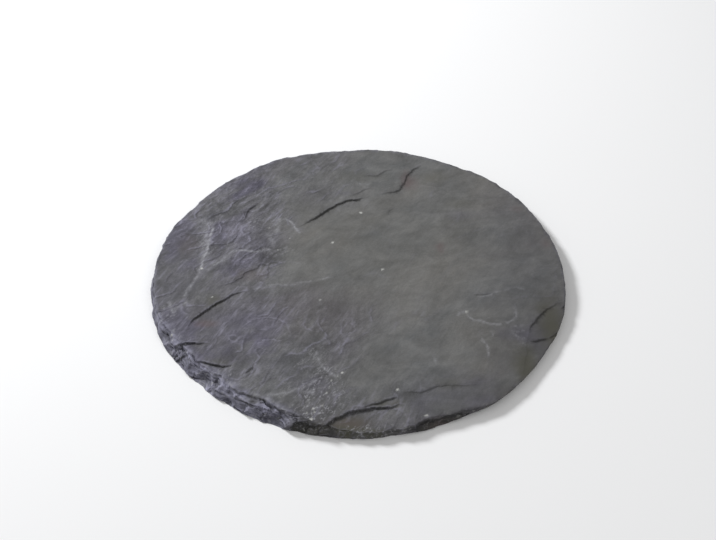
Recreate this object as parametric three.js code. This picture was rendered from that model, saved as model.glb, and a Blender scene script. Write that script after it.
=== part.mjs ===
// A round slab of riven slate with a hand-chipped edge, in millimetres, +Z up.
// The underside lies on z = 0 and the origin is at the middle of the outline's box.
// One natural stone, so one closed solid: a stack of rings runs from the middle of the top,
// over the chipped rim and back to the middle of the underside, and is stitched into triangles.

import * as THREE from 'three';

// Driving dimensions
const DIAMETER = 300;
const THICKNESS = 9;
const RADIUS = DIAMETER / 2;

// Mesh density: the top's outermost ring has six points for each of its rings
const TOP_RINGS = 26;
const RIM_POINTS = 6 * TOP_RINGS;
const UNDERSIDE_RING_POINTS = [78, 36, 12, 3];
const UNDERSIDE_RING_RADII = [128, 104, 84, 70];
const CROWDING_TO_RIM = 0.85;

// The outline, dressed in short flats: degrees anticlockwise from +X, and how far the
// corner between two flats stands out of the circle
const OUTLINE_CORNERS = [
  [3, 0.2], [12, 0.6], [25, 0], [33, 0.6], [40, 2.4], [52, 0.6], [60, -1.2], [70, -1],
  [76, 0.2], [84, 0.2], [94, -1.6], [107, -1.6], [114, 1.6], [120, 0.6], [142, -1.2], [150, -1.4],
  [159, 0.6], [170, -0.4], [177, 0.2], [200, 0.6], [212, -0.5], [225, -1.8], [245, -1], [260, -0.1],
  [271, 0], [280, -1.4], [292, 0.4], [304, 2.6], [315, 0.8], [328, -1], [340, 0.4], [352, 0.2],
];

// Width of the chipped band between the outline and the cleaved top: degrees, width
const BAND_WIDTHS = [
  [0, 2], [40, 2], [90, 2.5], [150, 2.5], [180, 3], [195, 5], [208, 9], [225, 11], [245, 11],
  [262, 6], [270, 1.5], [284, 1.5], [290, 4], [297, 3.5], [303, 1.5], [308, 1], [345, 1],
];

// How far the foot of the edge is cut back under the outline: degrees, distance
const FOOT_INSETS = [[0, 2.5], [30, 1.2], [284, 1.2], [302, 4.5], [345, 4.5]];

// The slab thins towards its edge on one side: degrees, depth lost at the edge
const THINNING = [
  [0, 0.8], [20, 0.3], [60, 0], [258, 0], [270, 1.8], [285, 2], [300, 3], [325, 4.2], [345, 2.5],
];
const THINNING_REACH = 50;

// The rim's profile, from the top edge down: share of the local thickness, share of the
// band's width left inside the outline, and share of the foot's inset
const RIM_PROFILE = [
  { height: 1.0, band: 1.0, foot: 0 },
  { height: 0.82, band: 0.5, foot: 0.15 },
  { height: 0.32, band: 0, foot: 0.6 },
  { height: 0, band: 0, foot: 1 },
];

// Steps where a layer of slate has split away from the top. Each runs along its points with
// the higher ground on its left. The low ground lies deeper by the drop, which grows from
// nothing over the first and last shares of the path's length (taper), and has risen again
// at the reach.
const STEPS = [
  {
    drop: 1.4, reach: 90, taper: [0.06, 0.2],
    points: [[-38, -149], [-29, -144], [-16, -137], [2, -130], [22, -128], [30, -125]],
  },
  {
    drop: 0.5, reach: 40, taper: [0.15, 0.6],
    points: [[27, -117], [51, -111], [94, -107]],
  },
  {
    drop: 0.9, reach: 50, taper: [0.75, 0.02],
    points: [[105, -105], [115, -66], [121, -50], [133, -35], [151, -27]],
  },
  {
    drop: 1.1, reach: 34, taper: [0.5, 0.12],
    points: [[-44, 50], [-28, 65], [-14, 78], [0, 83], [8, 87]],
  },
  {
    drop: 0.8, reach: 26, taper: [0.25, 0.3],
    points: [[14, 88], [30, 93], [36, 105], [46, 123]],
  },
  {
    drop: 1.0, reach: 36, taper: [0.2, 0.55],
    points: [[-119, -59], [-114, -48], [-101, -33], [-86, -22], [-69, -17]],
  },
];
const STEP_FOOT = 3;

// The slow rise and fall of the cleaved top: length and heading of each wave, and its height
const WAVES = [
  { length: 230, heading: 35, height: 0.2, shift: 0.4 },
  { length: 130, heading: 118, height: 0.12, shift: 2.1 },
];

// A value read off a closed list of [degrees, value] pairs, straight between neighbours
function around(pairs, degrees) {
  const count = pairs.length;
  for (let i = 0; i < count; i += 1) {
    const [from, low] = pairs[i];
    const [to, high] = pairs[(i + 1) % count];
    const span = THREE.MathUtils.euclideanModulo(to - from, 360);
    const along = THREE.MathUtils.euclideanModulo(degrees - from, 360);
    if (along <= span) {
      return THREE.MathUtils.lerp(low, high, along / span);
    }
  }
  return pairs[0][1];
}

// How deep one step leaves the ground at a point
function depthBelow(step, x, y) {
  const here = new THREE.Vector2(x, y);
  const corners = step.points.map(([px, py]) => new THREE.Vector2(px, py));
  let nearest = Infinity;
  let side = 0;
  for (let i = 0; i < corners.length - 1; i += 1) {
    const run = corners[i + 1].clone().sub(corners[i]);
    const offset = here.clone().sub(corners[i]);
    const share = THREE.MathUtils.clamp(offset.dot(run) / run.lengthSq(), 0, 1);
    const distance = here.distanceTo(corners[i].clone().addScaledVector(run, share));
    if (distance < nearest) {
      nearest = distance;
      side = run.cross(offset);
    }
  }
  if (side > 0) {
    return 0;
  }
  const chord = corners.at(-1).clone().sub(corners[0]);
  const along = here.clone().sub(corners[0]).dot(chord) / chord.lengthSq();
  const ends = THREE.MathUtils.smoothstep(along, 0, step.taper[0])
    * THREE.MathUtils.smoothstep(1 - along, 0, step.taper[1]);
  const foot = THREE.MathUtils.smoothstep(nearest, 0, STEP_FOOT);
  const rise = 1 - THREE.MathUtils.smoothstep(nearest, step.reach / 4, step.reach);
  return step.drop * ends * foot * rise;
}

// How much the slab has lost in thickness at a point near its thin side
function thinning(x, y) {
  const degrees = THREE.MathUtils.radToDeg(Math.atan2(y, x));
  const share = THREE.MathUtils.clamp((Math.hypot(x, y) - RADIUS) / THINNING_REACH + 1, 0, 1);
  return around(THINNING, degrees) * share ** 2;
}

// Height of the cleaved top above the underside
function topHeight(x, y) {
  let height = THICKNESS;
  for (const wave of WAVES) {
    const heading = THREE.MathUtils.degToRad(wave.heading);
    const distance = x * Math.cos(heading) + y * Math.sin(heading);
    height += wave.height * (Math.sin(2 * Math.PI * distance / wave.length + wave.shift) - 1);
  }
  for (const step of STEPS) {
    height -= depthBelow(step, x, y);
  }
  return height - thinning(x, y);
}

// A ring of evenly turned points; place(degrees) gives each one's radius, and its height
// where that isn't the cleaved top's
function ring(count, place) {
  const points = [];
  for (let i = 0; i < count; i += 1) {
    const degrees = 360 * i / count;
    const { radius, height } = place(degrees);
    const x = radius * Math.cos(THREE.MathUtils.degToRad(degrees));
    const y = radius * Math.sin(THREE.MathUtils.degToRad(degrees));
    points.push(new THREE.Vector3(x, y, height ?? topHeight(x, y)));
  }
  return points;
}

function outline(degrees) {
  return RADIUS + around(OUTLINE_CORNERS, degrees);
}

function topEdge(degrees) {
  return outline(degrees) - around(BAND_WIDTHS, degrees);
}

function topEdgeHeight(degrees) {
  const turn = THREE.MathUtils.degToRad(degrees);
  return topHeight(topEdge(degrees) * Math.cos(turn), topEdge(degrees) * Math.sin(turn));
}

// The cleaved top, from its middle to just inside its edge
function topRings() {
  const rings = [[new THREE.Vector3(0, 0, topHeight(0, 0))]];
  for (let k = 1; k < TOP_RINGS; k += 1) {
    const share = (k / TOP_RINGS) ** CROWDING_TO_RIM;
    rings.push(ring(6 * k, (degrees) => ({ radius: topEdge(degrees) * share })));
  }
  return rings;
}

// The chipped edge, from the top edge down to its foot
function rimRings() {
  return RIM_PROFILE.map(({ height, band, foot }) => ring(RIM_POINTS, (degrees) => ({
    radius: outline(degrees) - around(BAND_WIDTHS, degrees) * band - around(FOOT_INSETS, degrees) * foot,
    height: topEdgeHeight(degrees) * height,
  })));
}

// The flat underside, ending in one wide triangle round the middle
function undersideRings() {
  return UNDERSIDE_RING_POINTS.map(
    (count, i) => ring(count, () => ({ radius: UNDERSIDE_RING_RADII[i], height: 0 })),
  );
}

// Joins two neighbouring closed rings, of any two counts, with one band of triangles
function stitch(inner, outer, addTriangle) {
  let i = 0;
  let j = 0;
  while (i < outer.length || j < inner.length) {
    if ((i + 1) / outer.length <= (j + 1) / inner.length) {
      addTriangle(outer[i], outer[(i + 1) % outer.length], inner[j % inner.length]);
      i += 1;
    } else {
      addTriangle(outer[i % outer.length], inner[(j + 1) % inner.length], inner[j]);
      j += 1;
    }
  }
}

function slabGeometry() {
  const rings = [...topRings(), ...rimRings(), ...undersideRings()];
  const positions = [];
  const numbers = new Map();
  for (const point of rings.flat()) {
    numbers.set(point, numbers.size);
    positions.push(point.x, point.y, point.z);
  }
  const triangles = [];
  const addTriangle = (a, b, c) => {
    if (a !== b && b !== c && c !== a) {
      triangles.push(numbers.get(a), numbers.get(b), numbers.get(c));
    }
  };
  for (let k = 1; k < rings.length; k += 1) {
    stitch(rings[k - 1], rings[k], addTriangle);
  }
  const [first, second, third] = rings[rings.length - 1];
  addTriangle(first, third, second);
  const geometry = new THREE.BufferGeometry();
  geometry.setAttribute('position', new THREE.Float32BufferAttribute(positions, 3));
  geometry.setIndex(triangles);
  geometry.computeBoundingBox();
  const middle = geometry.boundingBox.getCenter(new THREE.Vector3());
  geometry.translate(-middle.x, -middle.y, 0);
  geometry.computeVertexNormals();
  return geometry;
}

const slate = new THREE.MeshStandardMaterial({ color: 0x666665, roughness: 0.6, metalness: 0 });

const slab = new THREE.Mesh(slabGeometry(), slate);
slab.name = 'slate_slab';

const part = new THREE.Group();
part.add(slab);

export default part;
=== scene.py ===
import math

import bpy
import numpy as np
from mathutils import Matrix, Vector
from mathutils.bvhtree import BVHTree


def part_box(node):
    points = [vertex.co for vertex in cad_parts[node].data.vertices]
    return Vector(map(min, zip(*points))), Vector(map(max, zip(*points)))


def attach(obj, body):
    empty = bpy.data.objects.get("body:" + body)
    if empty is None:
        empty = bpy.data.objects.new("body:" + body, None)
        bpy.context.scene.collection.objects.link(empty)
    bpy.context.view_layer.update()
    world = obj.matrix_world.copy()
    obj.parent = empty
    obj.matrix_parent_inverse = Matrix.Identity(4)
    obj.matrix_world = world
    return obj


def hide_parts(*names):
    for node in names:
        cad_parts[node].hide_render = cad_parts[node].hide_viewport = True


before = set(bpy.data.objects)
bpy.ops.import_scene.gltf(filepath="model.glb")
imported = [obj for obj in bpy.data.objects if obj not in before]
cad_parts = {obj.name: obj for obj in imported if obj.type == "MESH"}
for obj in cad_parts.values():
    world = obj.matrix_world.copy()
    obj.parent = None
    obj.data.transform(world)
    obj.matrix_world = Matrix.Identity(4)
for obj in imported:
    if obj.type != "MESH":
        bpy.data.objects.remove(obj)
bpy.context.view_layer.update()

# A round slab of riven slate. Shapes are worked out in millimetres with numpy, and become
# metres where a mesh is made. Angles are degrees anticlockwise from +X, seen from above.

MM = 0.001
NODE = "slate_slab"
cad_low, cad_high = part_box(NODE)
THICKNESS = (cad_high.z - cad_low.z) / MM
RADIUS = (cad_high.x - cad_low.x) / MM / 2

# Mesh density: rings of the top, points round the rim, rows down the rim
TOP_RINGS = 236
RIM_POINTS = 6 * TOP_RINGS
RIM_ROWS = 44
UNDERSIDE_RINGS = 60
TRIANGLE_LIMIT = 190000

# The visible slab keeps this far inside the CAD solid's top and underside, and its side starts
# this far inside, before the edge is made ragged
SIDE_GAP = 0.1
TOP_GAP = 0.05
UNDERSIDE_GAP = 0.02

# How far the foot of the edge stands off the floor, and how far the worn top has sunk
FOOT_GAP = 0.25
TOP_SINK = 0.2

# The CAD outline is sighted at these heights, at even angles (degrees), and its corners are
# worn round over so many sights each way
SIGHT_HEIGHTS = (0.8, 1.6, 2.4, 3.2, 4.0, 5.0)
SIGHT_SPACING = 0.5
CORNER_WEAR = 8

# Size of the tables of random numbers behind the noise
LATTICE = 64

# The headings of the slate's lineation and of the edges of its thin sheets
LINEATION_HEADING = 57
SHEET_HEADING = 52

# Sheets of cleavage, broad to fine: height where the slate is smooth and where it is rough,
# noise seed, spacing, wander, share of a sheet's width taken by its drop, and the patches they
# come in (length, seed, noise at which they start and at which they are whole)
TOP_SHEETS = [
    dict(smooth=0.08, rough=0.40, shape=(41, 44, 2.2, 0.03), patches=(33, 33, -0.15, 0.5)),
    dict(smooth=0.04, rough=0.40, shape=(42, 17, 1.5, 0.08), patches=(15, 34, -0.2, 0.45)),
    dict(smooth=0.01, rough=0.09, shape=(43, 6, 1.1, 0.22)),
]

# A sheet this high gets a full painted highlight on its lip and a full painted shadow at its foot
MARKED_SHEET = 0.36

# Width of the face of a split step, and of the painted shade along it
STEP_FACE = 0.5

# The height of a ridge that is marked in full, the depth of a hollow that gets full painted
# shade, and the rounds of smoothing that find them
FULL_RIDGE = 0.05
RIDGE_ROUNDS = 3
FULL_HOLLOW = 0.5
HOLLOW_ROUNDS = 24

# Bruises, painted highlights and specks at least this strong keep more of the mesh's points, this firmly
KEPT_MARK = 0.2
KEPT_FIRMLY = 0.3

# Edges sharper than this (degrees) are shaded as edges
SHARP_ANGLE = 50

# The floor's half width, in metres
FLOOR_HALF = 10.0

# Soft lights, in metres and watts, and the even light of the room
KEY_LIGHT = dict(place=(-1.15, 1.0, 0.9), size=0.42, watts=36, colour=(0.97, 0.98, 1.0))
FILL_LIGHT = dict(place=(0.9, -0.9, 1.4), size=1.2, watts=5, colour=(1.0, 0.99, 0.98))
ROOM_LIGHT = 0.42

# The camera looks along +Y and down, from the elevation at which a circle shows this flat.
# Elevation in degrees, distance and target in metres, lens and sensor in millimetres.
ELEVATION = 42.28
DISTANCE = 0.8700
TARGET = (-0.0001, 0.0112, 0.0)
LENS = 60
SENSOR_WIDTH = 36

# The slow rise and fall of the cleaved top: length, heading and height of each wave, its shift
WAVES = [(230, 35, 0.2, 0.4), (130, 118, 0.12, 2.1)]

# Width of the chipped band between the outline and the cleaved top: degrees, width
BAND_WIDTHS = [
    (0, 2), (40, 2), (90, 2.5), (150, 2.5), (180, 3), (195, 5), (208, 9), (225, 11), (245, 11),
    (262, 6), (270, 1.5), (284, 1.5), (290, 4), (297, 3.5), (303, 1.5), (308, 1), (345, 1),
]

# How far the foot of the edge is cut back under the outline: degrees, distance
FOOT_INSETS = [(0, 2.5), (30, 1.2), (284, 1.2), (302, 4.5), (345, 4.5)]

# Down the chipped edge from its top to its foot: marks, what is left of the band's width, how
# much of the foot's inset has come in, and what is left of the height
RIM_MARKS = (0, 0.25, 0.5, 0.75, 1)
BAND_LEFT = (1, 0.6, 0.2, 0, 0)
FOOT_IN = (0, 0.1, 0.3, 0.6, 1)
HEIGHT_LEFT = (1, 0.87, 0.67, 0.32, 0)

# The slab thins towards its edge on one side: degrees, depth lost at the edge
THINNING = [
    (0, 0.8), (20, 0.3), (60, 0), (258, 0), (270, 1.8), (285, 2), (300, 3), (325, 4.2), (345, 2.5),
]
THINNING_REACH = 50

# The steps, marks and stains below are measured from this point
MARKS_ORIGIN = (-0.6, -1.0)

# Steps where layers have split away from the top. Each runs along its points with the higher
# ground on its left: drop (the fall across it), reach (how far the low ground carries before
# it has risen again), taper (the share of the length over which each end grows from nothing),
# points.
STEPS = {
    "front_ledge": (1.4, 90, (0.06, 0.2), [
        (-38, -149), (-31, -146), (-26, -144), (-21, -142), (-16, -138), (-11, -134), (-6, -131),
        (2, -129), (8, -127), (14, -126), (20, -126), (26, -125), (32, -125)]),
    "front_sliver": (0.8, 8, (0.5, 0.15), [
        (-2, -129.5), (6.5, -125.5), (11, -123.5), (16.5, -121.5), (21, -119.5), (25.5, -118.5),
        (28, -120)]),
    "front_ledge_tail": (0.45, 40, (0.15, 0.6), [
        (28, -114.5), (35, -114), (41.5, -113), (47.5, -111), (53, -108.5), (64.5, -107.5),
        (90, -106)]),
    "front_right_lip": (2.2, 60, (0.1, 0.25), [
        (33.5, -146), (37, -142), (40.5, -137.5), (44, -135.5), (50.5, -135.5), (57.5, -133),
        (63, -130.5), (67, -130), (70, -131.5), (76, -131), (84, -128)]),
    "front_mouth": (1.6, 16, (0.3, 0.3), [
        (-49, -141), (-41, -140), (-33, -140), (-26, -141), (-19, -140)]),
    "right_flake": (0.75, 50, (0.4, 0.5), [
        (115, -66), (118, -55), (122, -48), (129, -39), (134, -34), (142, -29), (150, -26)]),
    "right_notch": (0.7, 7, (0.4, 0.02), [(141, -36), (145, -32), (152, -26)]),
    "right_flake_foot": (0.12, 40, (0.4, 0.3), [(107, -103), (111, -86), (115, -68), (118, -56)]),
    "top_scarp": (1.0, 34, (0.4, 0.12), [
        (-48, 48), (-40, 54), (-33.5, 60), (-27, 66.5), (-20.5, 73), (-13, 79), (-6, 82), (1, 84),
        (6, 87)]),
    "top_scarp_tail": (0.35, 16, (0.4, 0.4), [(-8, 86), (-3, 89), (3, 94), (8, 97), (15, 99)]),
    "red_scarp": (0.7, 26, (0.3, 0.25), [
        (14, 88), (21, 91), (27, 92), (32, 95), (35, 101), (37, 107), (40, 114), (44, 120), (49, 125),
        (54, 129)]),
    "left_scarp": (1.0, 36, (0.25, 0.5), [
        (-118, -59), (-114.5, -51.5), (-110, -44), (-104.5, -37.5), (-100, -32.5), (-92, -26),
        (-85, -21.5), (-76.5, -18.5), (-66, -16)]),
    "left_scarp_tail": (-0.2, 16, (0.3, 0.3), [
        (-76, -18), (-68, -16), (-58, -13.5), (-49.5, -13), (-40.5, -12), (-24, -8)]),
    "middle_scarp": (0.4, 18, (0.3, 0.3), [
        (-100, -14), (-91, -11), (-83, -5.5), (-80.5, 0), (-73.5, 4), (-69.5, 9.5), (-65, 9), (-61, 12),
        (-54, 10), (-46, 10)]),
    "left_nick": (0.65, 10, (0.3, 0.3), [(-86, 58), (-85, 62), (-83.5, 68), (-79.5, 75), (-76, 80)]),
    "band_gash_upper": (1.3, 12, (0.15, 0.55), [
        (-126, -71), (-122, -71), (-118, -70), (-112, -70), (-104, -70), (-97, -71)]),
    "band_gash_middle": (1.1, 7, (0.2, 0.4), [(-130, -79), (-124, -79), (-119, -79), (-110, -79)]),
    "band_gash_lower": (1.2, 12, (0.35, 0.3), [
        (-110, -84), (-107, -86.5), (-101, -88), (-93.5, -90.5), (-88.5, -91.5), (-81, -90.5)]),
    "band_gash_faint": (0.5, 8, (0.3, 0.4), [(-112.5, -93), (-105.5, -96), (-97.5, -96)]),
    "band_arc": (0.7, 8, (0.3, 0.15), [
        (-80, -113.5), (-73, -115), (-66, -117.5), (-59, -121), (-54, -125), (-48.5, -129.5),
        (-44.5, -134), (-40.5, -141)]),
    "band_arc_outer": (0.7, 7, (0.3, 0.3), [
        (-92, -110), (-80, -117), (-68, -124), (-60, -130), (-52, -137)]),
    "band_tick": (0.5, 7, (0.3, 0.3), [(-74, -99), (-71.5, -95), (-68.5, -91)]),
    "right_tick": (0.4, 8, (0.3, 0.3), [(81, -24), (85, -22.5), (89, -22.5), (95, -21)]),
    "back_tick": (0.35, 10, (0.3, 0.3), [
        (3, 112), (11, 113.5), (16, 113), (19, 116), (23, 120), (31, 121)]),
    "back_hair": (0.2, 8, (0.3, 0.3), [(22, 64), (24, 68), (27, 71.5), (31, 73)]),
    "flake_gash_upper": (0.7, 8, (0.3, 0.3), [(116, -67.5), (122, -65), (127.5, -63.5), (131, -62)]),
    "flake_gash_lower": (0.5, 8, (0.3, 0.3), [(129, -63), (133, -59.5), (138, -55)]),
}
# The ground just below these steps shows dark broken stone
BARE_STEPS = ("front_right_lip", "front_mouth")

# Thin pale bruises and scratches on the top, some of them painted highlights on rises that face the light:
# strength, half width, points
BRUISES_AND_HIGHLIGHTS = [
    # On the left
    (0.4, 3.2, [(-111, 60), (-111, 50), (-112, 38), (-112, 24), (-113, 12)]),
    (0.3, 4.0, [(-116, 62), (-113, 52), (-112, 40)]),
    # A painted highlight: the bright edge of a rise that faces the light
    (0.8, 1.1, [(-107, 54), (-109, 43), (-110, 28), (-112, 14), (-113, 5), (-114, -4)]),
    (0.5, 1.2, [(-113.5, -2), (-117, -10), (-122, -25)]),
    (0.45, 1.0, [(-131, -30), (-129.5, -36), (-126, -45)]),
    (0.35, 0.9, [(-128, -38), (-122, -33), (-117, -28)]),
    # The loop left of the middle, the scratch behind it and the scuff at the back
    (0.4, 1.6, [(-110, 2), (-104, 8), (-97.5, 15), (-91.5, 22)]),
    (0.6, 1.1, [(-96, 17), (-91.5, 23), (-84, 25), (-75, 23), (-69, 25), (-61, 25.5)]),
    (0.36, 2.6, [(-64, 26), (-62, 34), (-65, 42), (-60, 48), (-60, 56), (-56, 60)]),
    (0.6, 0.9, [(-54, 61), (-50, 56.5), (-46, 49.5), (-42.5, 42.5)]),
    (0.25, 1.6, [(-66, 56), (-60, 60), (-54, 61)]),
    (0.3, 1.0, [(-5, 108), (1, 103.5), (10, 101.5)]),
    # Along the front and above the chipped band
    (0.35, 0.9, [(-28, -76), (-24, -90), (-17, -98), (-11, -102)]),
    (0.5, 1.0, [(-60, -117), (-47.5, -115), (-40, -112), (-34, -109.5), (-29.5, -105.5), (-24, -101)]),
    (0.4, 1.6, [(-38, -112), (-34, -113.5), (-27, -114)]),
    (0.4, 0.9, [
        (-72, -113.5), (-65, -116), (-58, -119.5), (-53, -123.5), (-47.5, -128), (-43.5, -132.5)]),
    # On the right
    (0.35, 0.7, [
        (75.5, -40), (78, -46), (84, -49.5), (93, -52.5), (102.5, -50.5), (108, -46), (110, -39),
        (112.5, -35.5)]),
    (0.3, 0.6, [(68.5, -45), (71, -41), (76, -39)]),
    (0.25, 0.8, [(84, -26), (95.5, -22), (101.5, -19), (112.5, -15.5), (121.5, -18)]),
    (0.5, 0.5, [(84, -64), (87, -74), (87.5, -84)]),
    (0.45, 0.5, [(91.5, -57.5), (92, -64)]),
    (0.22, 0.5, [(104, -52), (109, -54), (117, -52)]),
    (0.22, 0.5, [(104, -57), (109, -59), (116, -57)]),
    (0.25, 0.6, [(106, -60), (110, -64), (115.5, -64)]),
    (0.22, 0.6, [(108, -65), (112, -70), (115, -70)]),
    # In front of the middle, and a painted highlight along the face of the left scarp's tail, which faces
    # the light
    (0.3, 0.6, [(50.5, -79), (51.5, -84), (52, -89)]),
    (0.32, 0.8, [(-74, -17), (-68, -15.5), (-58, -12.5), (-49.5, -13), (-40.5, -12)]),
    (0.3, 0.7, [(-48, -11.5), (-32, -8.5), (-16, -4)]),
]

# Bright specks of mica and chipped crystal on the top: x, y, size
SPECKS = [
    (3, 68, 1.3), (-18, 33, 1.4), (18, 3, 1.2), (-102, -25, 1.0), (26, -112, 1.2),
    (-50, 38, 0.8), (44, -132.5, 1.0), (-29, -137, 1.6), (-27, -131, 0.9), (-10, -97, 1.3),
    (-112, 5, 1.3), (-26, -28, 0.8), (-13, -100, 0.7), (-14, -96, 0.6), (-17, -104, 0.8),
    (-16, -108, 0.6), (-18, -109, 0.6), (-20, -115, 0.8), (-24, -121, 0.6), (-28, -128, 0.9),
    (-34, -140, 0.7), (-15, -117, 0.6), (-11, -110, 0.5), (-22, -126, 0.6), (-32, -132, 0.6),
    (75, -40, 0.8), (-126, -62, 1.1), (-125, -66, 0.9), (-66, 50, 0.7), (-58, 25, 0.8),
]

# Stains of rust, olive and lilac, fine pale frosting, and patches of painted shade: x, y, reach
# along x, reach along y, strength. The last table gives each kind the noise seed of its ragged edges.
RUST_STAINS = [
    (61, 27, 3, 7, 0.5), (38, 108, 4, 12, 0.5), (44, 104, 4, 8, 0.35), (-104, -51, 8, 4, 0.5),
    (-4, -138, 16, 4, 0.35), (121, 72, 5, 4, 0.3), (139, 32, 4, 6, 0.3), (-76, -2, 12, 8, 0.2),
    (-124, 30, 9, 12, 0.15), (-25, -40, 40, 30, 0.1), (60, -137, 20, 4, 0.4),
]
OLIVE_STAINS = [
    (134, -50, 10, 24, 0.85), (113, -88, 9, 18, 0.85), (-6, -139, 15, 7, 0.9), (20, 33, 70, 50, 0.15),
    (60, -106, 10, 4, 0.3), (-100, -30, 6, 8, 0.5), (-60, 50, 14, 10, 0.25), (-92, -88, 9, 4, 0.4),
    (98, -114, 10, 6, 0.4), (20, -123, 10, 3, 0.5), (-68, -119, 8, 4, 0.5), (-30, -143, 16, 5, 0.6),
    (10, -146, 24, 4, 0.7), (-2, 112, 30, 8, 0.3), (60, 112, 10, 8, 0.4), (80, 78, 14, 6, 0.25),
]
# Painted shade: darker patches where the light falls off at the left and right, and painted shadows beside
# a rise on the left, in the front mouth and under the front-right edge
PAINTED_SHADE_PATCHES = [
    (-104, 30, 4, 18, 0.6), (125, -20, 40, 90, 0.26), (60, -120, 60, 24, 0.16), (-128, -25, 26, 60, 0.32),
    (98, -85, 18, 16, 0.25), (93, -30, 14, 8, 0.15), (-112, -12, 5, 10, 0.3), (-34, -144, 14, 4, 0.9),
    (-100, -66, 30, 22, 0.15), (-122, 35, 20, 26, 0.32), (136, -46, 12, 18, 0.4), (126, -66, 14, 24, 0.45),
    (60, -148, 40, 8, 0.5),
]
LILAC_STAINS = [
    (-112, 32, 14, 34, 0.9), (-90, 12, 18, 14, 0.9), (-128, 20, 14, 40, 0.8), (-130, -30, 12, 30, 0.9),
    (-122, -62, 14, 16, 1.0), (-115, -84, 12, 12, 1.0), (-92, -104, 18, 10, 1.0), (-60, -132, 22, 9, 1.0),
    (-72, -55, 26, 20, 0.4), (-66, -88, 32, 18, 0.5), (42, -126, 9, 14, 0.8), (-30, -108, 14, 9, 0.8),
    (110, -60, 14, 9, 0.5), (-90, 96, 22, 14, 0.7), (-10, 91, 7, 3, 0.7), (75, 65, 18, 6, 0.25),
    (72, -116, 36, 16, 0.6), (120, 60, 30, 60, 0.15),
]
FROST_STAINS = [
    (-20, -118, 13, 24, 1.0), (-30, -132, 13, 10, 1.0), (-42, -113, 14, 8, 0.6), (-62, -132, 22, 8, 0.8),
    (-96, -100, 22, 10, 0.9), (-122, -76, 12, 14, 0.9), (-132, -46, 10, 20, 0.6), (-30, -85, 12, 14, 0.5),
    (10, -144, 22, 5, 1.0), (-70, 55, 16, 10, 0.4), (-60, 24, 20, 5, 0.4), (-112, 30, 10, 30, 0.4),
]
STAIN_AND_SHADE_PATCHES = {
    "rust": (RUST_STAINS, 121), "olive": (OLIVE_STAINS, 131), "shade": (PAINTED_SHADE_PATCHES, 151),
    "frost": (FROST_STAINS, 171), "lilac": (LILAC_STAINS, 141),
}

CHIP_SEED = 7

# Chips struck off the edge: where they start and end (degrees), the spacing between two,
# width and depth of the scoop, how far down the band their middles lie (0 top, 1 bottom), and
# how far a scoop may lean (radians)
CHIP_RUNS = [
    (207, 258, 13, (7, 14), (0.9, 2.4), (0.65, 1.0), 0.35),
    (198, 262, 8, (6, 15), (0.4, 1.3), (0.0, 0.45), 0.35),
    (262, 286, 8, (5, 9), (0.3, 0.8), (0.3, 1.0), 0.35),
    (286, 375, 7, (3, 7), (0.1, 0.3), (0.0, 0.15), 0.1),
    (15, 198, 9, (6, 14), (0.4, 1.1), (0.0, 0.9), 0.35),
    (20, 300, 6, (2, 4.5), (0.15, 0.5), (0.0, 1.0), 0.35),
]

# How ragged the edge is, and how far its layers stand in and out: degrees, share
WALL_ROUGHNESS = [(0, 0.35), (40, 1), (180, 0.8), (200, 1), (280, 1), (305, 0.4)]

# How far in from its edge the top is worn and picked: degrees, distance
WORN_EDGE = [(0, 2), (90, 3), (150, 3), (200, 2), (256, 2), (264, 5), (276, 9), (288, 8), (303, 2)]

# How pale the broken edge is, from old dark stone to fresh lilac-grey, and partly painted light:
# paler on the lower left, which faces the light, darker at the front and front right, in shadow: degrees,
# share
EDGE_PALENESS_AND_LIGHT = [
    (0, 0.25), (60, 0.3), (120, 0.4), (180, 0.6), (200, 1), (249, 1), (255, 0.2), (270, 0.15),
    (340, 0.1),
]


def lerp(low, high, share):
    return low + (high - low) * share


def smoothstep(low, high, value):
    share = np.clip((value - low) / (high - low), 0.0, 1.0)
    return share * share * (3 - 2 * share)


def around(pairs, degrees):
    """Values read off a closed list of (degrees, value) pairs, straight between neighbours."""
    turns = [p[0] for p in pairs]
    values = [p[1] for p in pairs]
    turns = [turns[-1] - 360] + turns + [turns[0] + 360]
    values = [values[-1]] + values + [values[0]]
    return np.interp(np.mod(degrees, 360), turns, values)


# ---- noise

def noise(x, y, z, seed):
    """Gradient noise in three dimensions, about -1 to 1, one cell per unit."""
    rng = np.random.default_rng(seed)
    spin = rng.normal(size=(LATTICE, LATTICE, LATTICE, 3)).astype(np.float32)
    spin /= np.linalg.norm(spin, axis=-1, keepdims=True)
    x = np.asarray(x, np.float32)
    y = np.asarray(y, np.float32)
    z = np.broadcast_to(np.asarray(z, np.float32), x.shape)
    cell = [np.floor(v).astype(np.int64) for v in (x, y, z)]
    part = [v - c for v, c in zip((x, y, z), cell)]
    ease = [p * p * p * (p * (p * 6 - 15) + 10) for p in part]
    total = np.zeros_like(x)
    for corner in range(8):
        step = (corner & 1, corner >> 1 & 1, corner >> 2 & 1)
        slope = spin[tuple((c + s) % LATTICE for c, s in zip(cell, step))]
        dot = sum(slope[..., i] * (part[i] - step[i]) for i in range(3))
        weight = 1.0
        for e, s in zip(ease, step):
            weight = weight * (e if s else 1 - e)
        total += weight * dot
    return total * 1.6


def layered_noise(x, y, z, seed, octaves, gain=0.5):
    """Noise summed over octaves, each twice as fine as the last and weaker by the gain."""
    total = 0.0
    size = 1.0
    reach = 0.0
    for octave in range(octaves):
        total = total + size * noise(x * 2**octave, y * 2**octave, z * 2**octave, seed + octave)
        reach += size
        size *= gain
    return total / reach


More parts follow.
